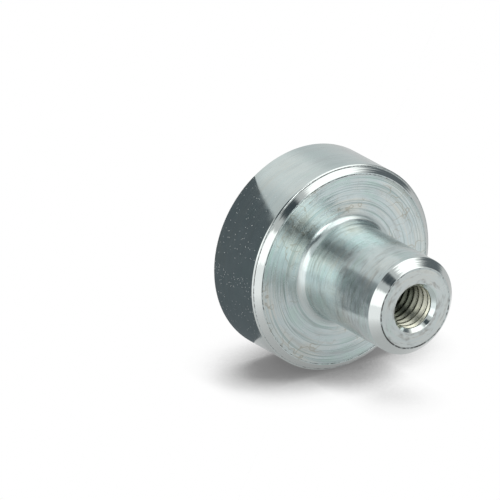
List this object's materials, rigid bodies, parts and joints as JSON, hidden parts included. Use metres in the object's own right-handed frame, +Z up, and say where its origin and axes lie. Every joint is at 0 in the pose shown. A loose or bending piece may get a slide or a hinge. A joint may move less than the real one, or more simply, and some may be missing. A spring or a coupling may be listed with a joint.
{
  "type": "pot magnet",
  "caption": "Round pot magnet: zinc-plated steel cup with a ferrite disc set in its front face and a countersunk threaded neck on its back.",
  "frame": {"origin": "centre of the magnetic face, in the plane of the steel rim", "axes": "+Y is the outward normal of the magnetic face and the common axis of every piece, with the neck and its threaded hole running away along -Y; +Z is up with the magnet lying on the side wall of its pot; +X is to the right"},
  "size_m": [0.034, 0.0301, 0.034],
  "materials": {
    "zinc_plated_steel": "turned steel with a clear, bluish zinc plating",
    "ferrite": "ground, matt, dark grey sintered ferrite",
    "adhesive": "cured adhesive film, hidden under the magnet",
    "potting_resin": "near-black cast resin with a satin skin"
  },
  "bodies": {
    "root": {"pot_body": "zinc_plated_steel", "magnet_disc": "ferrite", "bond_layer": "adhesive", "potting_ring": "potting_resin"}
  },
  "joints": []
}
